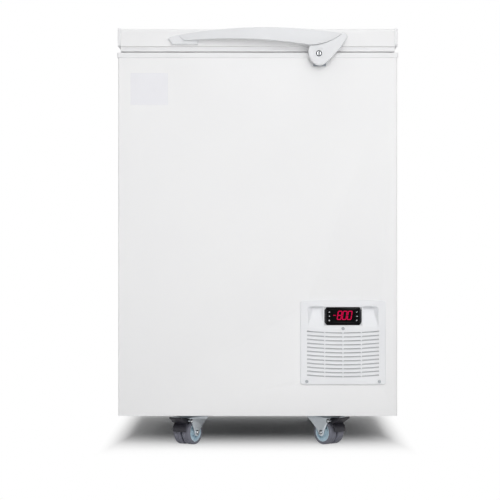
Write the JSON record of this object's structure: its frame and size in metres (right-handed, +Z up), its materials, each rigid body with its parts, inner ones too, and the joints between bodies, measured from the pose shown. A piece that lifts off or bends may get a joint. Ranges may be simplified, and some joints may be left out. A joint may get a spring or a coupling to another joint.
{
  "type": "undercounter chest freezer",
  "caption": "Top-opening low-temperature chest freezer with bow handle and lock, digital controller in a curved louvred panel, on twin-wheel casters.",
  "frame": {"origin": "on the floor, under the middle of the outline's bounding box", "axes": "+Z up, +X to the right of somebody facing the front, +Y to the back"},
  "size_m": [0.562, 0.695, 0.84],
  "materials": {
    "shell_paint": "smooth powder-coated steel, white",
    "liner_metal": "brushed stainless steel sheet",
    "foam_core": "rigid polyurethane foam, pale yellow",
    "copper_tube": "drawn copper tube",
    "frame_plastic": "moulded plastic, fine-grained, cool white",
    "zinc_steel": "zinc-plated pressed steel",
    "panel_plastic": "moulded plastic grille, cool white",
    "bezel_plastic": "polished black plastic",
    "window_tint": "dark tinted window",
    "key_plastic": "moulded black plastic keys",
    "pump_enamel": "black enamelled steel can",
    "mount_rubber": "moulded rubber",
    "relay_plastic": "moulded black plastic",
    "fin_aluminium": "stamped aluminium fins",
    "fan_plastic": "moulded fan plastic",
    "inlet_plastic": "moulded black plastic",
    "seal_rubber": "extruded magnetic seal, white",
    "trim_plastic": "moulded plastic end cap, white",
    "grip_plastic": "moulded handle plastic, white",
    "lock_chrome": "plated lock plug",
    "caster_rubber": "dark grey tread on a light core",
    "filter_mat": "nonwoven polyester filter mat, light grey",
    "pedal_plastic": "moulded dark plastic"
  },
  "bodies": {
    "cabinet": {"outer_shell": "shell_paint", "rear_panel": "shell_paint", "inner_liner": "liner_metal", "insulation_foam": "foam_core", "evaporator_coil": "copper_tube", "top_collar": "frame_plastic", "base_pan": "zinc_steel", "machine_bay_wall": "zinc_steel", "vent_panel": "panel_plastic", "vent_panel_screws": "zinc_steel", "air_filter": "filter_mat", "controller_housing": "bezel_plastic", "display_window": "window_tint", "compressor": "pump_enamel", "compressor_mounts": "mount_rubber", "relay_cover": "relay_plastic", "condenser": "fin_aluminium", "fan_shroud": "fan_plastic", "fan_motor": "zinc_steel", "filter_drier": "copper_tube", "refrigerant_pipes": "copper_tube", "power_inlet": "inlet_plastic", "lock_keeper": "zinc_steel", "caster_top_plates": "zinc_steel", "hinge_bases": "zinc_steel", "hinge_pins": "zinc_steel"},
    "lid": {"lid_skin": "shell_paint", "lid_side_trims": "trim_plastic", "lid_liner": "frame_plastic", "lid_gasket": "seal_rubber", "lid_foam": "foam_core", "handle_grip": "grip_plastic", "handle_foot": "grip_plastic", "lock_housing": "grip_plastic", "hinge_arms": "zinc_steel"},
    "lock": {"lock_cylinder": "lock_chrome", "lock_cam": "zinc_steel"},
    "fan": {"fan_blade": "fan_plastic"},
    "key_left_upper": {"key_left_upper": "key_plastic"},
    "key_left_middle": {"key_left_middle": "key_plastic"},
    "key_left_lower": {"key_left_lower": "key_plastic"},
    "key_right_upper": {"key_right_upper": "key_plastic"},
    "key_right_middle": {"key_right_middle": "key_plastic"},
    "key_right_lower": {"key_right_lower": "key_plastic"},
    "fork_front_right": {"caster_fork_front_right": "zinc_steel"},
    "wheel_front_right_a": {"caster_wheel_front_right_a": "caster_rubber"},
    "wheel_front_right_b": {"caster_wheel_front_right_b": "caster_rubber"},
    "pedal_front_right": {"brake_pedal_front_right": "pedal_plastic"},
    "fork_front_left": {"caster_fork_front_left": "zinc_steel"},
    "wheel_front_left_a": {"caster_wheel_front_left_a": "caster_rubber"},
    "wheel_front_left_b": {"caster_wheel_front_left_b": "caster_rubber"},
    "pedal_front_left": {"brake_pedal_front_left": "pedal_plastic"},
    "fork_rear_right": {"caster_fork_rear_right": "zinc_steel"},
    "wheel_rear_right_a": {"caster_wheel_rear_right_a": "caster_rubber"},
    "wheel_rear_right_b": {"caster_wheel_rear_right_b": "caster_rubber"},
    "fork_rear_left": {"caster_fork_rear_left": "zinc_steel"},
    "wheel_rear_left_a": {"caster_wheel_rear_left_a": "caster_rubber"},
    "wheel_rear_left_b": {"caster_wheel_rear_left_b": "caster_rubber"}
  },
  "joints": [
    {"name": "lid_hinge", "type": "hinge", "parent": "cabinet", "child": "lid", "pos_m": [0, 0.341, 0.797], "axis": [-1, 0, 0], "range_deg": [0, 85]},
    {"name": "lock_turn", "type": "hinge", "parent": "lid", "child": "lock", "pos_m": [0.1218, -0.33, 0.787], "axis": [0, 1, 0], "range_deg": [0, 90]},
    {"name": "fan_spin", "type": "hinge", "parent": "cabinet", "child": "fan", "pos_m": [0.154, -0.1755, 0.151], "axis": [0, 1, 0], "continuous": true},
    {"name": "press_left_upper", "type": "slide", "parent": "cabinet", "child": "key_left_upper", "axis": [0, 1, 0], "range_m": [0, 0.0008], "stiffness_N_per_m": 400},
    {"name": "press_left_middle", "type": "slide", "parent": "cabinet", "child": "key_left_middle", "axis": [0, 1, 0], "range_m": [0, 0.0008], "stiffness_N_per_m": 400},
    {"name": "press_left_lower", "type": "slide", "parent": "cabinet", "child": "key_left_lower", "axis": [0, 1, 0], "range_m": [0, 0.0008], "stiffness_N_per_m": 400},
    {"name": "press_right_upper", "type": "slide", "parent": "cabinet", "child": "key_right_upper", "axis": [0, 1, 0], "range_m": [0, 0.0008], "stiffness_N_per_m": 400},
    {"name": "press_right_middle", "type": "slide", "parent": "cabinet", "child": "key_right_middle", "axis": [0, 1, 0], "range_m": [0, 0.0008], "stiffness_N_per_m": 400},
    {"name": "press_right_lower", "type": "slide", "parent": "cabinet", "child": "key_right_lower", "axis": [0, 1, 0], "range_m": [0, 0.0008], "stiffness_N_per_m": 400},
    {"name": "swivel_front_right", "type": "hinge", "parent": "cabinet", "child": "fork_front_right", "pos_m": [0.13, -0.215, 0.06], "axis": [0, 0, 1], "continuous": true},
    {"name": "roll_front_right_a", "type": "hinge", "parent": "fork_front_right", "child": "wheel_front_right_a", "pos_m": [0.145, -0.23109, 0.025], "axis": [0.7314, 0.682, 0], "continuous": true},
    {"name": "roll_front_right_b", "type": "hinge", "parent": "fork_front_right", "child": "wheel_front_right_b", "pos_m": [0.145, -0.23109, 0.025], "axis": [0.7314, 0.682, 0], "continuous": true},
    {"name": "brake_front_right", "type": "hinge", "parent": "fork_front_right", "child": "pedal_front_right", "pos_m": [0.15864, -0.24572, 0.049], "axis": [0.7314, 0.682, 0], "range_deg": [0, 7]},
    {"name": "swivel_front_left", "type": "hinge", "parent": "cabinet", "child": "fork_front_left", "pos_m": [-0.13, -0.215, 0.06], "axis": [0, 0, 1], "continuous": true},
    {"name": "roll_front_left_a", "type": "hinge", "parent": "fork_front_left", "child": "wheel_front_left_a", "pos_m": [-0.14198, -0.23345, 0.025], "axis": [0.8387, -0.5446, 0], "continuous": true},
    {"name": "roll_front_left_b", "type": "hinge", "parent": "fork_front_left", "child": "wheel_front_left_b", "pos_m": [-0.14198, -0.23345, 0.025], "axis": [0.8387, -0.5446, 0], "continuous": true},
    {"name": "brake_front_left", "type": "hinge", "parent": "fork_front_left", "child": "pedal_front_left", "pos_m": [-0.15288, -0.25022, 0.049], "axis": [0.8387, -0.5446, 0], "range_deg": [0, 7]},
    {"name": "swivel_rear_right", "type": "hinge", "parent": "cabinet", "child": "fork_rear_right", "pos_m": [0.13, 0.24, 0.06], "axis": [0, 0, 1], "continuous": true},
    {"name": "roll_rear_right_a", "type": "hinge", "parent": "fork_rear_right", "child": "wheel_rear_right_a", "pos_m": [0.13569, 0.26125, 0.025], "axis": [-0.9659, 0.2588, 0], "continuous": true},
    {"name": "roll_rear_right_b", "type": "hinge", "parent": "fork_rear_right", "child": "wheel_rear_right_b", "pos_m": [0.13569, 0.26125, 0.025], "axis": [-0.9659, 0.2588, 0], "continuous": true},
    {"name": "swivel_rear_left", "type": "hinge", "parent": "cabinet", "child": "fork_rear_left", "pos_m": [-0.13, 0.24, 0.06], "axis": [0, 0, 1], "continuous": true},
    {"name": "roll_rear_left_a", "type": "hinge", "parent": "fork_rear_left", "child": "wheel_rear_left_a", "pos_m": [-0.13752, 0.26067, 0.025], "axis": [-0.9397, -0.342, 0], "continuous": true},
    {"name": "roll_rear_left_b", "type": "hinge", "parent": "fork_rear_left", "child": "wheel_rear_left_b", "pos_m": [-0.13752, 0.26067, 0.025], "axis": [-0.9397, -0.342, 0], "continuous": true}
  ]
}
